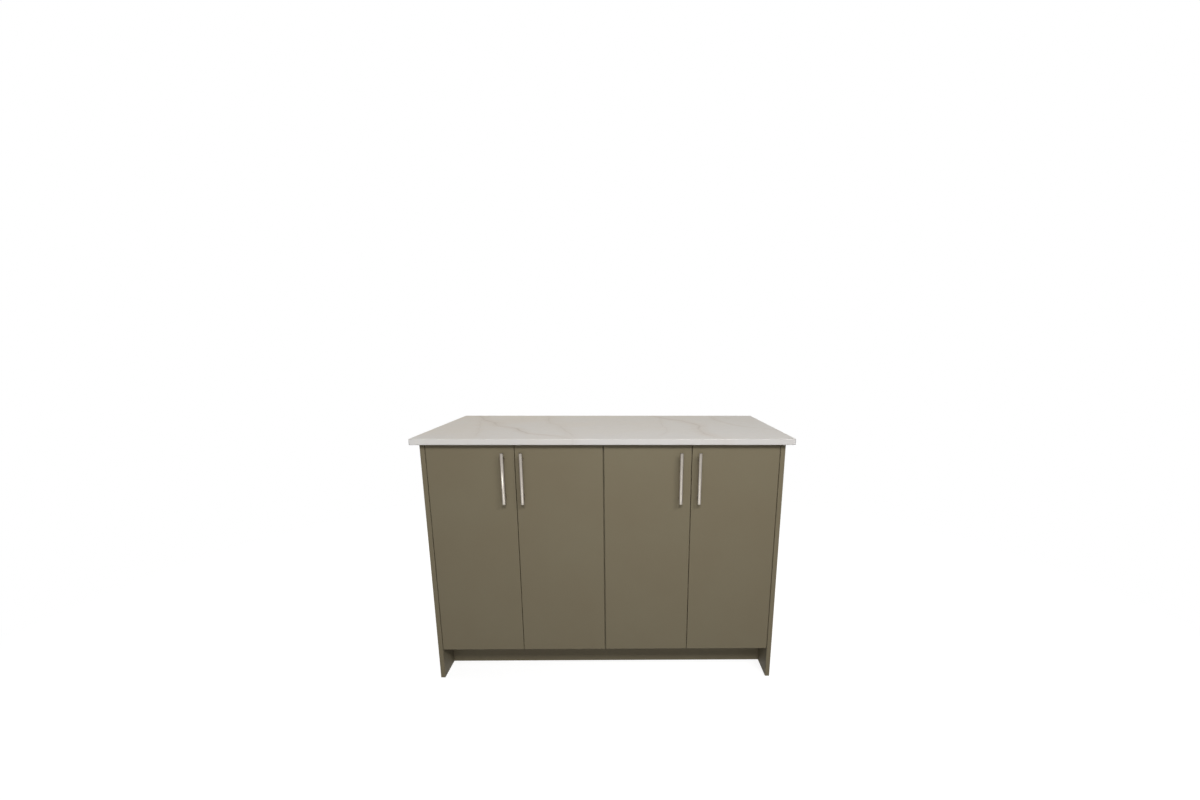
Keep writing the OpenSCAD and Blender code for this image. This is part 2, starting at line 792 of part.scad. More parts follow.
// The mounting plate: wings screwed to the box side and a block that carries the arm
module hinge_plates() {
    color(zinc) for (n = [1 : 4]) at_hinges(n) {
        difference() {
            union() {
                translate([side_face_u, plate_centre_v, 0])
                    rotate([0, 90, 0]) linear_extrude(plate_base)
                        round_bar(plate_length, plate_width);
                translate([side_face_u, plate_centre_v - plate_block[0] / 2, -plate_block[1] / 2])
                    cube([arm_web[0] - side_face_u, plate_block[0], plate_block[1]]);
            }
            // hollow of the pressed block, open towards the rear
            translate([side_face_u + plate_base,
                    plate_centre_v - plate_block[0] / 2 + plate_block_front,
                    plate_block_wall - plate_block[1] / 2])
                cube([arm_web[0] - side_face_u - plate_base - plate_block_wall, plate_block[0],
                    plate_block[1] - 2 * plate_block_wall]);
        }
        for (s = [-1, 1]) translate([side_face_u, plate_centre_v, s * plate_screw_z]) {
            translate([-plate_screw_length, 0, 0])
                bar_x(plate_screw_r, plate_screw_length + plate_base);
            translate([plate_base, 0, 0]) bar_x(plate_screw_head[0], plate_screw_head[1]);
        }
    }
}

// The cup with its rim, its bar with two screws, and the pin of the inner link
module hinge_cups(n) {
    cup_r = cup_d / 2 - cup_slack;
    floor_v = rim_v - cup_depth + cup_floor_slack;
    pin_dz = sqrt(pow(cup_r - cup_wall, 2) - pow(cup_axis_u - cup_pivot_inner[0], 2));
    color(zinc) at_hinges(n) {
        difference() {
            union() {
                translate([cup_axis_u, floor_v, 0]) bar_y(cup_r, rim_v - floor_v);
                translate([cup_axis_u, rim_v, 0]) bar_y(cup_flange_r, cup_flange);
                translate([cup_axis_u + cup_bar_offset, rim_v + cup_flange, 0])
                    rotate([90, 0, 0]) linear_extrude(cup_flange) rotate([0, 0, 90])
                        round_bar(2 * cup_screw_z + cup_bar_width, cup_bar_width);
            }
            translate([cup_axis_u, floor_v + cup_wall, 0]) bar_y(cup_r - cup_wall, cup_depth + 2);
        }
        pivot(cup_pivot_inner, pin_r, pin_dz + cup_pin_bite);
        for (s = [-1, 1]) translate([cup_axis_u + cup_bar_offset, rim_v, s * cup_screw_z]) {
            translate([0, -cup_screw_length, 0]) bar_y(cup_screw_r, cup_screw_length);
            bar_y(cup_screw_head_r, cup_flange + cup_screw_head);
        }
    }
}

// ---------- doors ----------

module door(n) {
    color(paint) difference() {
        at_door(n) translate([0, 0, door_bottom])
            eased_board([door_width, door_thickness, door_height], board_ease);
        at_hinges(n) {
            translate([cup_axis_u, rim_v - cup_depth, 0]) bar_y(cup_d / 2, cup_depth + 1);
            for (s = [-1, 1])
                translate([cup_axis_u + cup_bar_offset, rim_v - cup_screw_length, s * cup_screw_z])
                    bar_y(cup_screw_r, cup_screw_length + 1);
        }
        at_posts(n) translate([0, -1, 0])
            bar_y(handle_screw_d / 2 + handle_hole_slack, door_thickness + 2);
    }
}

// Places its children on the door's front face, at both posts of its handle
module at_posts(n) {
    u = door_width - (n % 2 == 1 ? handle_edge_left_hung : handle_edge_right_hung);
    at_door(n) for (z = post_heights) translate([u, 0, z]) children();
}

module handle_bar(n) {
    u = door_width - (n % 2 == 1 ? handle_edge_left_hung : handle_edge_right_hung);
    color(nickel) at_door(n) translate([u, bar_v, bar_bottom]) rotate_extrude() polygon([
        [0, 0], [bar_r - bar_ease, 0], [bar_r, bar_ease], [bar_r, handle_length - bar_ease],
        [bar_r - bar_ease, handle_length], [0, handle_length]
    ]);
}

module handle_posts(n) {
    color(nickel) at_posts(n) difference() {
        translate([0, bar_v, 0]) bar_y(handle_post_d / 2, -bar_v);
        translate([0, bar_v, -handle_post_d]) cylinder(r = bar_r, h = 2 * handle_post_d);
        translate([0, -handle_screw_grip, 0]) bar_y(handle_screw_d / 2, handle_screw_grip + 1);
    }
}

module handle_screws(n) {
    color(zinc) at_posts(n) {
        translate([0, -handle_screw_grip, 0])
            bar_y(handle_screw_d / 2, handle_screw_grip + door_thickness);
        translate([0, door_thickness, 0]) difference() {
            bar_y(handle_screw_head_d / 2, handle_screw_head);
            for (a = [0, 90]) rotate([0, a, 0])
                translate([-cross_slot[0] / 2, handle_screw_head - cross_slot_depth, -cross_slot[1] / 2])
                    cube([cross_slot[0], cross_slot_depth + 1, cross_slot[1]]);
        }
    }
}

// Bumpers at the free edge, opposite the front edges of the base and the front rail
module bumpers(n) {
    color(clear_rubber) at_door(n)
        for (z = [toe_height + board / 2, unit_height - board + bumper_d / 2 + 2])
            translate([door_width - bumper_d / 2 - 5, door_thickness, z])
                bar_y(bumper_d / 2, door_standoff - bumper_air);
}

// ---------- nodes ----------

worktop();
end_panel();  // left_end_panel
right_of_centre() end_panel();  // right_end_panel
back_panel();
plinth();
plinth_clips();

cabinet_side(-cabinet_width, true);  // left_cabinet_outer_side
cabinet_side(-board, false);  // left_cabinet_inner_side
cabinet_base();  // left_cabinet_base
cabinet_thin_back();  // left_cabinet_back
cabinet_front_rail();  // left_cabinet_front_rail
cabinet_back_rail();  // left_cabinet_back_rail
cabinet_shelf();  // left_cabinet_shelf

right_of_centre() cabinet_side(-cabinet_width, true);  // right_cabinet_outer_side
right_of_centre() cabinet_side(-board, false);  // right_cabinet_inner_side
right_of_centre() cabinet_base();  // right_cabinet_base
right_of_centre() cabinet_thin_back();  // right_cabinet_back
right_of_centre() cabinet_front_rail();  // right_cabinet_front_rail
right_of_centre() cabinet_back_rail();  // right_cabinet_back_rail
right_of_centre() cabinet_shelf();  // right_cabinet_shelf

shelf_pins();
leg_sockets();
leg_feet();
hinge_arms();
hinge_plates();
cabinet_bolts();
carcass_screws();
panel_screws();

for (n = [1 : 4]) {
    door(n);
    handle_bar(n);
    handle_posts(n);
    handle_screws(n);
    hinge_cups(n);
    inner_links(n);
    outer_links(n);
    bumpers(n);
}
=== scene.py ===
"""Looks of the kitchen island unit: materials, finished surfaces, floor, lamps and camera.
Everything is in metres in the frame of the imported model; lengths written in mm are turned by MM."""

import json
import math

import bpy
import numpy as np
from mathutils import Matrix, Vector

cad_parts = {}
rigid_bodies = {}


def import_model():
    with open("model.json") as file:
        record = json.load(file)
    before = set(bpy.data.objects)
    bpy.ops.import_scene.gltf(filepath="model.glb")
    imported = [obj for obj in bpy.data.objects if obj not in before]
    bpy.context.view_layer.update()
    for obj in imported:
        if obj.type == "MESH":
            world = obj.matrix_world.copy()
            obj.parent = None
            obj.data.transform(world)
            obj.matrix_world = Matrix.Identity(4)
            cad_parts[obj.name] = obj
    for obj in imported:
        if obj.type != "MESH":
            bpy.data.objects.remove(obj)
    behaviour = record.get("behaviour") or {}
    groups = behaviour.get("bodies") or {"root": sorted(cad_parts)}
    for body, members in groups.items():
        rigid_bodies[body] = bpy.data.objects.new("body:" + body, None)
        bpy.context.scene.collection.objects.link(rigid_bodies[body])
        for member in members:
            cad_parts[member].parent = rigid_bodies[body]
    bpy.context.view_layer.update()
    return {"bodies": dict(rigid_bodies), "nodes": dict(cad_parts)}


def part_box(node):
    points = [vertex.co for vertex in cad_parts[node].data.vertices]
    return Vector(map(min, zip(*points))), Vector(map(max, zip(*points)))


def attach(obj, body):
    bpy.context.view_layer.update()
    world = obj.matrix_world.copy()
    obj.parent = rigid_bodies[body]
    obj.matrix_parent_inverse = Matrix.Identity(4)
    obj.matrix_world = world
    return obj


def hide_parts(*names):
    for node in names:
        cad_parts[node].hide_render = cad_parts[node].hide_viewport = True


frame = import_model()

# Whatever Blender itself starts with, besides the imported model, goes
for spare in set(bpy.data.objects) - set(frame["nodes"].values()) - set(frame["bodies"].values()):
    bpy.data.objects.remove(spare)
MM = 0.001


# ---------------------------------------------------------------- small helpers

# Sockets of a Mix node that mixes colours: its factor, its two colours and its result
MIX_SHARE, MIX_UNDER, MIX_OVER, MIXED = 0, 6, 7, 2
# Blender's noise runs from 0 to 1 but seldom leaves this range
NOISE_LOW, NOISE_HIGH = 0.3, 0.7


def linear(code):
    """sRGB hex such as 'aabbcc' to linear RGBA: c/12.92 below 0.04045, else ((c + 0.055)/1.055)^2.4."""
    parts = [int(code[i:i + 2], 16) / 255 for i in (0, 2, 4)]
    return [c / 12.92 if c <= 0.04045 else ((c + 0.055) / 1.055) ** 2.4 for c in parts] + [1.0]


def add(tree, kind, inputs=None, **settings):
    """Adds a node: settings are its properties, inputs maps a socket to a value or to a socket to link."""
    node = tree.nodes.new(kind)
    for name, value in settings.items():
        setattr(node, name, value)
    for key, value in (inputs or {}).items():
        if isinstance(value, bpy.types.NodeSocket):
            tree.links.new(value, node.inputs[key])
        else:
            node.inputs[key].default_value = value
    return node


def finish_named(name):
    """A new material, its tree, its Principled shader and its Object coordinates."""
    made = bpy.data.materials.new(name)
    made.use_nodes = True
    tree = made.node_tree
    shader = tree.nodes["Principled BSDF"]
    place = add(tree, "ShaderNodeTexCoord").outputs["Object"]
    return made, tree, shader, place


def grain(tree, place, size_mm, detail=2.0, rough=0.5, stretch=(1, 1, 1)):
    """Noise whose blobs are about size_mm across, drawn out by the factors in stretch."""
    scaled = add(tree, "ShaderNodeMapping", {"Vector": place, "Scale": [1 / s for s in stretch]})
    return add(tree, "ShaderNodeTexNoise", {
        "Vector": scaled.outputs[0], "Scale": 1 / (size_mm * MM), "Detail": detail,
        "Roughness": rough}).outputs["Fac"]


def mottled(tree, place, size_mm, first, second, detail=2.0):
    """A colour that drifts between two sRGB colours, in patches of about size_mm."""
    share = add(tree, "ShaderNodeMapRange", {
        "Value": grain(tree, place, size_mm, detail), "From Min": NOISE_LOW,
        "From Max": NOISE_HIGH}).outputs[0]
    return add(tree, "ShaderNodeMix", {MIX_SHARE: share, MIX_UNDER: linear(first),
                                       MIX_OVER: linear(second)}, data_type="RGBA").outputs[MIXED]


def dress(tree, shader, colour, uneven, roughness, uniform, height=None, depth_mm=0.0):
    """Gives a shader its colour, a roughness that a pattern, uneven, moves between two values, the
    values that are the same all over and, where a height map is given, a relief of its real depth."""
    tree.links.new(colour, shader.inputs["Base Color"])
    gloss = add(tree, "ShaderNodeMapRange", {"Value": uneven, "From Min": NOISE_LOW, "From Max": NOISE_HIGH,
                                             "To Min": roughness[0], "To Max": roughness[1]})
    tree.links.new(gloss.outputs[0], shader.inputs["Roughness"])
    for socket, value in uniform.items():
        shader.inputs[socket].default_value = value
    if height is not None:
        relief = add(tree, "ShaderNodeBump", {"Height": height, "Distance": depth_mm * MM,
                                              "Strength": 1.0})
        tree.links.new(relief.outputs[0], shader.inputs["Normal"])


# ---------------------------------------------------------------- materials

def matt_lacquer():
    """Khaki-taupe two-pack lacquer sprayed on MDF: a flat, closed colour with the faint pebbling
    that spraying leaves, and a gloss that wanders a little from place to place."""
    made, tree, shader, place = finish_named("matt_lacquer_on_mdf")
    colour = mottled(tree, place, 260, "746b57", "766e5a", detail=3)
    # Spray pebbling is 1 to 2 mm across; 3 mm here, so that it shows at all
    pebbles = grain(tree, place, 3, 1)
    dress(tree, shader, colour, grain(tree, place, 45, 4), (0.59, 0.63),
          {"IOR": 1.5, "Specular IOR Level": 0.28}, pebbles, depth_mm=0.012)
    return made


# Each vein of the slab: its middle line as points (y, x) in metres from the back edge to the front
# edge, the width of its thread in mm, and how dark it is from 0 to 1
VEINS = [
    ([(0.335, -0.60), (0.23, -0.54), (0.12, -0.465), (0.0, -0.41), (-0.06, -0.345),
      (-0.18, -0.28), (-0.235, -0.20), (-0.33, -0.10)], 5.0, 0.62),
    ([(0.335, -0.26), (0.21, -0.25), (0.11, -0.235), (0.05, -0.19), (-0.06, -0.16),
      (-0.14, -0.14), (-0.33, -0.09)], 4.0, 0.25),
    ([(0.335, 0.20), (0.19, 0.27), (0.11, 0.31), (0.03, 0.348), (-0.10, 0.345),
      (-0.20, 0.36), (-0.33, 0.40)], 5.0, 0.58),
    ([(0.335, -0.53), (0.14, -0.515), (-0.06, -0.475), (-0.22, -0.455), (-0.33, -0.45)], 2.0, 0.3),
    ([(0.335, 0.24), (0.0, 0.215), (-0.14, 0.22), (-0.33, 0.15)], 2.0, 0.2),
    ([(0.335, 0.43), (0.1, 0.47), (-0.03, 0.53), (-0.08, 0.60), (-0.33, 0.70)], 2.5, 0.35),
]
# A vein's curve covers y and x from minus to plus these, in metres
VEIN_REACH_Y, VEIN_REACH_X = 0.35, 0.8


def off_vein(tree, across, deep, points):
    """How far a place lies beside a vein's middle line: |x - line(y)|, where the line is a smooth
    curve through the vein's points."""
    along = add(tree, "ShaderNodeMapRange", {"Value": deep, "From Min": -VEIN_REACH_Y,
                                             "From Max": VEIN_REACH_Y}).outputs[0]
    line = add(tree, "ShaderNodeFloatCurve", {"Value": along})
    # The curve node works in a square from 0 to 1
    spots = [(y / (2 * VEIN_REACH_Y) + 0.5, x / (2 * VEIN_REACH_X) + 0.5) for y, x in reversed(points)]
    curve = line.mapping.curves[0]
    curve.points[0].location, curve.points[1].location = spots[0], spots[-1]
    for spot in spots[1:-1]:
        curve.points.new(*spot)
    line.mapping.update()
    middle = add(tree, "ShaderNodeMapRange", {"Value": line.outputs[0], "To Min": -VEIN_REACH_X,
                                              "To Max": VEIN_REACH_X}).outputs[0]
    beside = add(tree, "ShaderNodeMath", {0: across, 1: middle}, operation="SUBTRACT").outputs[0]
    return add(tree, "ShaderNodeMath", {0: beside}, operation="ABSOLUTE").outputs[0]


def darkest_vein(tree, veins, widths, level):
    """The strongest vein at a place: each is level x its darkness on its middle line and fades
    smoothly to 0 at widths x its own width beside it."""
    darkest = None
    for off, width_mm, dark in veins:
        near = add(tree, "ShaderNodeMapRange", {
            "Value": off, "From Min": 0.0, "From Max": widths * width_mm * MM,
            "To Min": level * dark, "To Max": 0.0}, interpolation_type="SMOOTHSTEP").outputs[0]
        darkest = near if darkest is None else add(
            tree, "ShaderNodeMath", {0: darkest, 1: near}, operation="MAXIMUM").outputs[0]
    return darkest


def bent_place(tree, place):
    """Coordinates that are pushed aside by up to half of push, in swells of the size given, so that
    nothing in the stone runs straight."""
    push, swell = 70 * MM, 200 * MM
    noise = add(tree, "ShaderNodeTexNoise", {"Vector": place, "Scale": 1 / swell, "Detail": 3.0,
                                             "Roughness": 0.5}).outputs["Color"]
    centred = add(tree, "ShaderNodeVectorMath", {0: noise, 1: (0.5, 0.5, 0.5)},
                  operation="SUBTRACT").outputs[0]
    pushed = add(tree, "ShaderNodeVectorMath", {0: centred, 1: (push, push, 0.0)},
                 operation="MULTIPLY").outputs[0]
    return add(tree, "ShaderNodeVectorMath", {0: place, 1: pushed}, operation="ADD").outputs[0]


def vein_shares(tree, place, across, deep, front):
    """The veins' wide pale stain and their dark thread. Both thin out towards the slab's front edge,
    and the threads come and go along their length."""
    veins = [(off_vein(tree, across, deep, points), width_mm, dark) for points, width_mm, dark in VEINS]
    shown = add(tree, "ShaderNodeMapRange", {
        "Value": deep, "From Min": front + 10.5 * MM, "From Max": front + 115.5 * MM,
        "To Min": 0.2, "To Max": 1.0}).outputs[0]
    fade = add(tree, "ShaderNodeMapRange", {
        "Value": grain(tree, place, 160), "From Min": 0.35, "From Max": 0.6,
        "To Min": 0.25, "To Max": 0.8}).outputs[0]
    stain = add(tree, "ShaderNodeMath", {0: darkest_vein(tree, veins, widths=10, level=0.3), 1: shown},
                operation="MULTIPLY").outputs[0]
    thread = add(tree, "ShaderNodeMath", {0: darkest_vein(tree, veins, widths=1.8, level=0.7), 1: shown},
                 operation="MULTIPLY").outputs[0]
    thread = add(tree, "ShaderNodeMath", {0: thread, 1: fade}, operation="MULTIPLY").outputs[0]
    return stain, thread


def clouds_and_painted_light(tree, place, bent, across, deep, front):
    """The body's soft changes: cooler in clouds and towards the front right. Painted shade greys it towards
    its right end, and painted light makes it paler along the left end of its front edge."""
    cloud = add(tree, "ShaderNodeMapRange", {
        "Value": grain(tree, bent, 220, 4, rough=0.6), "From Min": NOISE_LOW, "From Max": NOISE_HIGH,
        "To Max": 0.7}).outputs[0]
    to_back_left = add(tree, "ShaderNodeVectorMath", {0: place, 1: (-0.45, 1.0, 0.0)},
                       operation="DOT_PRODUCT").outputs["Value"]
    to_front_right = add(tree, "ShaderNodeMapRange", {
        "Value": to_back_left, "From Min": -0.35, "From Max": 0.55,
        "To Min": 0.6, "To Max": -0.35}).outputs[0]
    cooler = add(tree, "ShaderNodeMath", {0: cloud, 1: to_front_right}, operation="ADD",
                 use_clamp=True).outputs[0]
    # Painted shade: the slab's colour is greyed towards its right end, which darkens that end as if less
    # light fell there
    painted_shade_right = add(tree, "ShaderNodeMapRange", {"Value": across, "From Min": -0.5, "From Max": 0.64,
                                              "To Min": 0.0, "To Max": 0.45}).outputs[0]
    # Painted light: the front edge, and the rounded rim just behind it, is painted paler towards its left
    # end, as if more light fell there
    to_left = add(tree, "ShaderNodeMapRange", {"Value": across, "From Min": -0.64, "From Max": -0.28,
                                               "To Min": 0.45, "To Max": 0.0}).outputs[0]
    to_front = add(tree, "ShaderNodeMapRange", {
        "Value": deep, "From Min": front + 9.5 * MM, "From Max": front + 19.5 * MM,
        "To Min": 1.0, "To Max": 0.0}).outputs[0]
    painted_light_edge = add(tree, "ShaderNodeMath", {0: to_left, 1: to_front}, operation="MULTIPLY").outputs[0]
    return cooler, painted_shade_right, painted_light_edge


def engineered_stone():
    """Polished quartz slab: warm grey-white, softly clouded, with grey-brown veins that cross its
    depth, each a dark thread in a wider pale stain, and the fine salt of crushed quartz."""
    made, tree, shader, place = finish_named("engineered_quartz_stone")
    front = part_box("worktop")[0][1]
    bent = bent_place(tree, place)
    split = add(tree, "ShaderNodeSeparateXYZ", {0: bent})
    across, deep = split.outputs[0], split.outputs[1]
    cooler, painted_shade_right, painted_light_edge = clouds_and_painted_light(tree, place, bent, across, deep, front)
    # Crushed quartz is 0.3 to 1 mm; 2 mm here, so that it shows as a faint salt
    salt = add(tree, "ShaderNodeMapRange", {
        "Value": grain(tree, place, 2), "From Min": 0.5, "From Max": 0.75, "To Max": 0.35}).outputs[0]
    stain, thread = vein_shares(tree, place, across, deep, front)
    colour = linear("d6cfc7")
    # c9c6c3 is painted shade towards the slab's right end and ecebe8 painted light along the left end of
    # its front edge; the other shades are the stone's own
    for share, shade in ((cooler, "d6d3d1"), (painted_shade_right, "c9c6c3"), (painted_light_edge, "ecebe8"),
                         (salt, "e2e0dc"), (stain, "b39f8b"), (thread, "93867a")):
        colour = add(tree, "ShaderNodeMix", {MIX_SHARE: share, MIX_UNDER: colour,
                                             MIX_OVER: linear(shade)}, data_type="RGBA").outputs[MIXED]
    dress(tree, shader, colour, grain(tree, place, 30, 3), (0.36, 0.44),
          {"IOR": 1.54, "Specular IOR Level": 0.08})
    return made


def front_edges(tree, place):
    """1 on the front edges of the boards, else 0: there the face looks forwards, its normal's y
    under -0.9, and lies no deeper in the cabinet than the front edge of a shelf."""
    normal = add(tree, "ShaderNodeSeparateXYZ", {
        0: add(tree, "ShaderNodeNewGeometry").outputs["True Normal"]}).outputs[1]
    forwards = add(tree, "ShaderNodeMath", {0: normal, 1: -0.9}, operation="LESS_THAN").outputs[0]
    deep = add(tree, "ShaderNodeSeparateXYZ", {0: place}).outputs[1]
    just_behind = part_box("left_cabinet_shelf")[0][1] + 0.5 * MM
    in_front = add(tree, "ShaderNodeMath", {0: deep, 1: just_behind}, operation="LESS_THAN").outputs[0]
    return add(tree, "ShaderNodeMath", {0: forwards, 1: in_front}, operation="MULTIPLY").outputs[0]


def coated_white_board(name, banded):
    """White melamine-faced board: a satin paper film pressed with a fine pearl; where banded, its
    front edges carry a band in the colour of the doors, as cabinet makers order it."""
    made, tree, shader, place = finish_named(name)
    colour = mottled(tree, place, 180, "eae8e2", "eeece7")
    if banded:
        colour = add(tree, "ShaderNodeMix", {
            MIX_SHARE: front_edges(tree, place), MIX_UNDER: colour,
            MIX_OVER: linear("716953")}, data_type="RGBA").outputs[MIXED]
    # The pearl is pressed 0.5 to 1 mm apart; 2.2 mm here, so that it shows
    pearl = grain(tree, place, 2.2)
    dress(tree, shader, colour, pearl, (0.38, 0.5), {}, pearl, depth_mm=0.03)
    return made


def brushed_nickel():
    """Nickel plate brushed along the bar: warm silver whose hairlines run lengthwise, so that
    lights smear round it, across the hairlines, with a slightly uneven satin."""
    made, tree, shader, place = finish_named("brushed_nickel_plate")
    colour = mottled(tree, place, 22, "a69f96", "aea79e")
    # Hairlines are 0.05 to 0.1 mm wide; 0.6 mm here and 36 mm long, so that they show
    hairlines = grain(tree, place, 0.6, 3, stretch=(1, 1, 60))
    # The shader's own tangent runs round the upright bar, so this draws the gloss out that way
    smear = {"Metallic": 1.0, "Anisotropic": 0.79}
    dress(tree, shader, colour, hairlines, (0.24, 0.35), smear, hairlines, depth_mm=0.02)
    return made


def plated_steel(name, dark, light, roughness, depth_mm):
    """Pressed steel with a bright plate: smooth, a little uneven from the press, soft in its gloss."""
    made, tree, shader, place = finish_named(name)
    marks = grain(tree, place, 4, 3)
    dress(tree, shader, mottled(tree, place, 12, dark, light), marks, roughness,
          {"Metallic": 1.0}, marks, depth_mm)
    return made


def moulded_polypropylene():
    """Black polypropylene, injection moulded: a dull, slightly waxy black with a fine spark grain."""
    made, tree, shader, place = finish_named("moulded_black_polypropylene")
    # Spark grain is 0.3 to 0.5 mm; 1.2 mm here, so that it shows
    spark = grain(tree, place, 1.2)
    dress(tree, shader, mottled(tree, place, 30, "202123", "2a2b2d"), spark, (0.45, 0.62),
          {"IOR": 1.49}, spark, depth_mm=0.03)
    return made


def clear_polyurethane():
    """Soft clear polyurethane drop: milky, glossy and a little see-through at its rim."""
    made, tree, shader, place = finish_named("clear_soft_polyurethane")
    depth_of_light = 2 * MM
    dress(tree, shader, mottled(tree, place, 3, "d2d3cc", "e0e1da"), grain(tree, place, 2), (0.18, 0.28),
          {"IOR": 1.5, "Subsurface Weight": 0.4, "Subsurface Radius": (depth_of_light,) * 3})
    return made


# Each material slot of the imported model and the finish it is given
finishes = {
    "painted_board": matt_lacquer(),
    "stone": engineered_stone(),
    "melamine_board": coated_white_board("fine_pearl_melamine", banded=True),
    "melamine_back": coated_white_board("white_coated_hardboard", banded=False),
    "brushed_nickel": brushed_nickel(),
    "hinge_steel": plated_steel("nickel_plated_pressed_steel", "b4b0aa", "c2beb8",
                                roughness=(0.22, 0.34), depth_mm=0.02),
    "zinc_fasteners": plated_steel("zinc_plated_steel", "a9adb0", "b9babb",
                                   roughness=(0.3, 0.46), depth_mm=0.015),
    "black_plastic": moulded_polypropylene(),
    "bumper": clear_polyurethane(),
}
for piece in frame["nodes"].values():
    for slot in piece.material_slots:
        slot.material = finishes[slot.material.name]


# ---------------------------------------------------------------- surfaces

def ring_surface(name, rings, finish):
    """A surface from a stack of closed rings of points in mm, an array of rings x points x 3: each
    ring is joined to the next by quads, and the first and last are closed by one flat face each.
    The rings run so that the faces look outwards."""
    count, around = rings.shape[:2]
    ring, spot = np.meshgrid(np.arange(count - 1), np.arange(around), indexing="ij")
    following = (spot + 1) % around
    quads = np.stack([ring * around + spot, ring * around + following,
                      (ring + 1) * around + following, (ring + 1) * around + spot], -1).reshape(-1, 4)
    ends = [list(range(around))[::-1], list(range((count - 1) * around, count * around))]
    faces = quads.tolist() + ends
    mesh = bpy.data.meshes.new(name)
    mesh.from_pydata((rings.reshape(-1, 3) * MM).tolist(), [], faces)
    mesh.polygons.foreach_set("use_smooth", np.ones(len(faces), bool))
    mesh.materials.append(finishes[finish])
    piece = bpy.data.objects.new(name, mesh)
    bpy.context.scene.collection.objects.link(piece)
    return piece


def box_mm(node):
    """Lowest and highest corner of a CAD node, in mm."""
    return [np.array(c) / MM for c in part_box(node)]


def mirrored(half, length):
    """A profile of (radius or inset, height) whose second half mirrors its first at length / 2."""
    return np.concatenate([half, (half * [1, -1] + [0, length])[::-1]])


def stone_slab():
    """The worktop. Its edge is a quarter circle of radius arris at its lower and its upper face,
    inset = arris(1 - cos a) and height = arris(1 - sin a), with a short flat before and after each,
    so that the wide faces stay flat in their shading. Its outline is a rectangle with corners of
    radius corner: corner's centre + (corner - inset)(cos t, sin t), so each ring is the outline
    inset as far as the edge says."""
    low, high = box_mm("worktop")
    corner, arris = 6.0, 2.2
    flat_before, flat_after = 1.2 * arris, 0.4 * arris
    edge_steps, corner_steps = 8, 12
    a = np.linspace(math.pi / 2, 0, edge_steps + 1)
    easing = np.stack([arris * (1 - np.cos(a)), arris * (1 - np.sin(a))], -1)
    half = np.concatenate([easing[:1] + [[flat_before, 0]], easing, easing[-1:] + [[0, flat_after]]])
    edge = mirrored(half, high[2] - low[2])
    inset, height = edge[:, :1], edge[:, 1:]
    quarter = np.linspace(0, 1, corner_steps + 1)
    t = np.concatenate([quarter + q for q in range(4)]) * math.pi / 2
    signs = np.repeat([[1, 1], [-1, 1], [-1, -1], [1, -1]], corner_steps + 1, axis=0)
    centre = (low[:2] + high[:2]) / 2 + signs * ((high[:2] - low[:2]) / 2 - corner)
    radius = corner - inset
    rings = np.stack([centre[:, 0] + radius * np.cos(t), centre[:, 1] + radius * np.sin(t),
                      low[2] + height + np.zeros_like(t)], -1)
    piece = ring_surface("stone_slab", rings, "stone")
    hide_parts("worktop")
    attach(piece, "cabinet")


def lathed(profile, foot, around=64):
    """Rings of a profile of (radius, height) turned about an upright axis through the point foot."""
    t = np.arange(around) * 2 * math.pi / around
    radius, height = profile[:, :1], profile[:, 1:]
    return np.stack([foot[0] + radius * np.cos(t), foot[1] + radius * np.sin(t),
                     foot[2] + height + np.zeros_like(t)], -1)


def handle_tube(n):
    """A handle's bar: a straight tube with a pressed-in cap at each end. Half of its profile runs
    from the flat of the cap round its rim, a quarter circle (R - e(1 - cos a), e(1 - sin a)) where R
    is the tube's radius and e the rim's, and over the fine seam where the cap meets the tube: a
    groove whose bottom and lips lie the given lengths to each side of its middle. The other half
    is its mirror image."""
    low, high = box_mm(f"handle_bar_{n}")
    radius, length = min(high[:2] - low[:2]) / 2, high[2] - low[2]
    ease, flat_before, rim_steps = 1.0, 1.2, 7
    seam_at, seam_deep, beside, lip, bottom = 6.5, 0.22, 0.5, 0.25, 0.125
    a = np.linspace(math.pi / 2, 0, rim_steps + 1)
    rim = np.stack([radius - ease * (1 - np.cos(a)), ease * (1 - np.sin(a))], -1)
    seam = [[radius, seam_at - beside], [radius, seam_at - lip], [radius - seam_deep, seam_at - bottom],
            [radius - seam_deep, seam_at + bottom], [radius, seam_at + lip], [radius, seam_at + beside]]
    half = np.concatenate([rim[:1] - [[flat_before, 0]], rim, seam])
    foot = [*((low + high) / 2)[:2], low[2]]
    piece = ring_surface(f"handle_tube_{n}", lathed(mirrored(half, length), foot), "brushed_nickel")
    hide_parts(f"handle_bar_{n}")
    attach(piece, f"door_{n}")


stone_slab()
for number in (1, 2, 3, 4):
    handle_tube(number)


# ---------------------------------------------------------------- floor, light and camera

# Light of the world on the object, and of the floor: its own glow and the reflectance of its paper
# as the camera sees them, and the reflectance that it has for the object
WORLD_LEVEL = 0.10
FLOOR_GLOW, FLOOR_PAPER, FLOOR_BOUNCE = 0.8, 0.4, 0.12


def looked_at(tree):
    """1 for rays from the camera and for those that gloss or glass passes on, else 0."""
    path = add(tree, "ShaderNodeLightPath")
    shiny = add(tree, "ShaderNodeMath", {0: path.outputs["Is Glossy Ray"],
                                         1: path.outputs["Is Transmission Ray"]}, operation="MAXIMUM")
    return add(tree, "ShaderNodeMath", {0: path.outputs["Is Camera Ray"], 1: shiny.outputs[0]},
               operation="MAXIMUM").outputs[0]


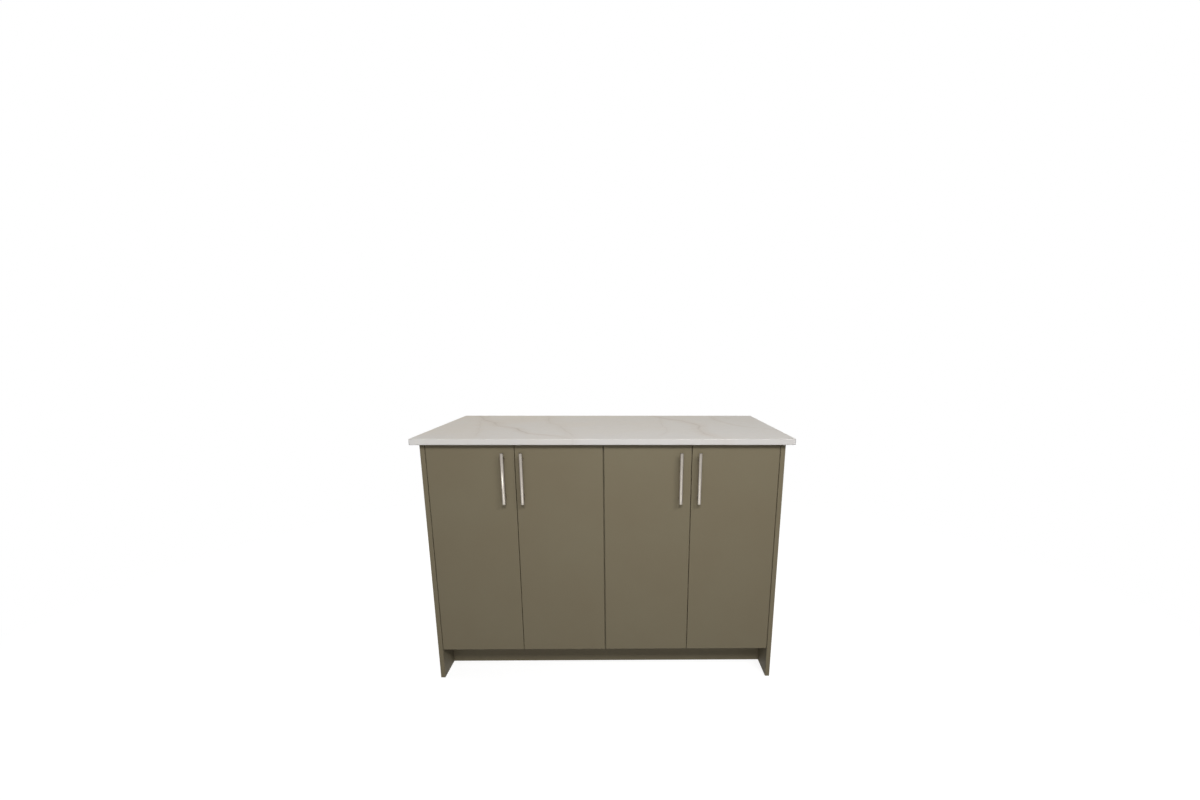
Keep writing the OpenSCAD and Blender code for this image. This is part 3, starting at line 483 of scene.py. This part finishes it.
def pale_floor():
    """A white studio floor: pale paper that keeps the object's shadow near it and runs out to the
    backdrop's white. Lamps see a darker paper, so that it throws little light up at the object."""
    # Half the floor's width, its gap under the feet, and how far from the middle the paper ends and
    # pure white begins
    reach, under_feet = 30.0, 0.5 * MM
    paper_to, white_from = 1.2, 2.6
    corners = [(x * reach, y * reach, -under_feet) for x, y in ((-1, -1), (1, -1), (1, 1), (-1, 1))]
    mesh = bpy.data.meshes.new("studio_floor")
    mesh.from_pydata(corners, [], [(0, 1, 2, 3)])
    piece = bpy.data.objects.new("studio_floor", mesh)
    bpy.context.scene.collection.objects.link(piece)
    made = bpy.data.materials.new("white_paper_floor")
    made.use_nodes = True
    tree = made.node_tree
    tree.nodes.clear()
    place = add(tree, "ShaderNodeTexCoord").outputs["Object"]
    far = add(tree, "ShaderNodeVectorMath", {0: place}, operation="LENGTH").outputs["Value"]
    away = add(tree, "ShaderNodeMapRange", {"Value": far, "From Min": paper_to, "From Max": white_from},
               interpolation_type="SMOOTHSTEP").outputs[0]
    white = add(tree, "ShaderNodeEmission", {"Color": linear("ffffff"), "Strength": 1.0})
    glow = add(tree, "ShaderNodeEmission", {"Color": linear("ffffff"), "Strength": FLOOR_GLOW})
    paper = add(tree, "ShaderNodeBsdfDiffuse", {"Color": (FLOOR_PAPER,) * 3 + (1,)})
    near = add(tree, "ShaderNodeAddShader", {0: glow.outputs[0], 1: paper.outputs[0]})
    seen = add(tree, "ShaderNodeMixShader", {0: away, 1: near.outputs[0], 2: white.outputs[0]})
    unseen = add(tree, "ShaderNodeBsdfDiffuse", {"Color": (FLOOR_BOUNCE,) * 3 + (1,)})
    either = add(tree, "ShaderNodeMixShader", {0: looked_at(tree), 1: unseen.outputs[0],
                                               2: seen.outputs[0]})
    add(tree, "ShaderNodeOutputMaterial", {0: either.outputs[0]})
    mesh.materials.append(made)


def white_world():
    """Even, slightly warm daylight from all round; what is seen of it, also in gloss, is white."""
    world = bpy.data.worlds.new("white_studio")
    world.use_nodes = True
    tree = world.node_tree
    shade = tree.nodes["Background"]
    seen = looked_at(tree)
    strength = add(tree, "ShaderNodeMapRange", {"Value": seen, "To Min": WORLD_LEVEL, "To Max": 1.0})
    colour = add(tree, "ShaderNodeMix", {MIX_SHARE: seen, MIX_UNDER: linear("fffbf5"),
                                         MIX_OVER: linear("ffffff")}, data_type="RGBA")
    tree.links.new(strength.outputs[0], shade.inputs["Strength"])
    tree.links.new(colour.outputs[MIXED], shade.inputs["Color"])
    bpy.context.scene.world = world


def softbox(name, place, aim, size, level, in_gloss=False, colour="ffffff", flagged_to=None):
    """A rectangular lamp that lights a surface at aim, square to it, to the level given: a white
    surface there renders level x white. Its power is level x pi^2 x distance^2. With in_gloss it is
    mirrored too. Flags may keep its light off everything but the one piece named by flagged_to."""
    lamp = bpy.data.lights.new(name, "AREA")
    lamp.shape = "RECTANGLE"
    lamp.size, lamp.size_y = size
    lamp.color = linear(colour)[:3]
    away = Vector(place) - Vector(aim)
    lamp.energy = level * math.pi ** 2 * away.length_squared
    piece = bpy.data.objects.new(name, lamp)
    piece.matrix_world = Matrix.Translation(place) @ away.to_track_quat("Z", "Y").to_matrix().to_4x4()
    piece.visible_camera = False
    piece.visible_glossy = in_gloss
    if flagged_to:
        lit = bpy.data.collections.new(f"{name}_lights")
        lit.objects.link(bpy.data.objects[flagged_to])
        piece.light_linking.receiver_collection = lit
    bpy.context.scene.collection.objects.link(piece)


def studio_light():
    """A large key lamp high in front on the right and a small one in the middle, whose shadows
    show the slab's overhang; fills from all sides; and two lamps for the handles' gloss, a low strip
    that all four mirror and a short one near the left bar, for the bright patch half way up it."""
    doors = (0.0, -0.3, 0.6)
    softbox("key_front", (0.9, -2.35, 2.25), doors, (1.6, 0.5), 0.49)
    softbox("small_front", (0.05, -2.5, 2.15), doors, (0.35, 0.35), 0.32)
    softbox("fill_front", (0.0, -2.8, 0.9), doors, (1.6, 0.8), 0.135)
    softbox("overhead", (0.0, 1.0, 3.0), (0.0, 0.1, 0.9), (1.8, 1.2), 0.25, colour="fff6dc")
    for name, side in (("fill_left", -1), ("fill_right", 1)):
        softbox(name, (side * 3.4, 0.9, 0.85), (side * 0.6, 0.1, 0.5), (2.0, 1.2), 0.62)
    softbox("fill_back", (-0.8, 3.8, 0.9), (0.0, 0.3, 0.5), (2.4, 1.2), 0.65)
    softbox("low_strip_in_gloss", (-0.2, -2.3, 0.12), (0.0, -0.3, 0.7), (2.4, 0.12), 0.07,
            in_gloss=True)
    patch = Vector(np.mean(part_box("handle_bar_1"), axis=0)) - Vector((0, 0, 4.5)) * MM
    softbox("kicker_in_gloss", patch + Vector((-150, -259, -70.4)) * MM, patch, (0.3, 0.022), 0.165,
            in_gloss=True, flagged_to="handle_tube_1")


def photo_camera():
    """The photograph's view: a wide lens close to the unit, a little above its worktop, tilted down
    by 14 degrees, with its frame raised and moved a little to the left of the lens's axis."""
    eye = (0.0679, -2.0741, 1.1736)
    # In radians: turned to the right, tilted down, and rolled about the lens's axis
    yaw, pitch, roll = 0.0118, 0.2452, -0.0016
    # In the photograph's pixels: its width, the focal length, and its middle from the lens's axis
    photo_wide, focal, frame_right, frame_up = 1200, 538.1, -29.9, 86.3
    sensor_mm = 36.0
    ahead = Vector((math.sin(yaw) * math.cos(pitch), math.cos(yaw) * math.cos(pitch), -math.sin(pitch)))
    right = Vector((math.cos(yaw), -math.sin(yaw), 0.0))
    down = ahead.cross(right)
    rolled_right = right * math.cos(roll) + down * math.sin(roll)
    rolled_down = down * math.cos(roll) - right * math.sin(roll)
    lens = bpy.data.cameras.new("photo_camera")
    lens.sensor_width = sensor_mm
    lens.lens = focal / photo_wide * sensor_mm
    lens.shift_x, lens.shift_y = frame_right / photo_wide, frame_up / photo_wide
    lens.clip_start = 50 * MM
    piece = bpy.data.objects.new("photo_camera", lens)
    turned = Matrix((rolled_right, -rolled_down, -ahead)).transposed().to_4x4()
    piece.matrix_world = Matrix.Translation(eye) @ turned
    bpy.context.scene.collection.objects.link(piece)
    bpy.context.scene.camera = piece


pale_floor()
white_world()
studio_light()
photo_camera()
bpy.context.scene.view_settings.view_transform = "Standard"
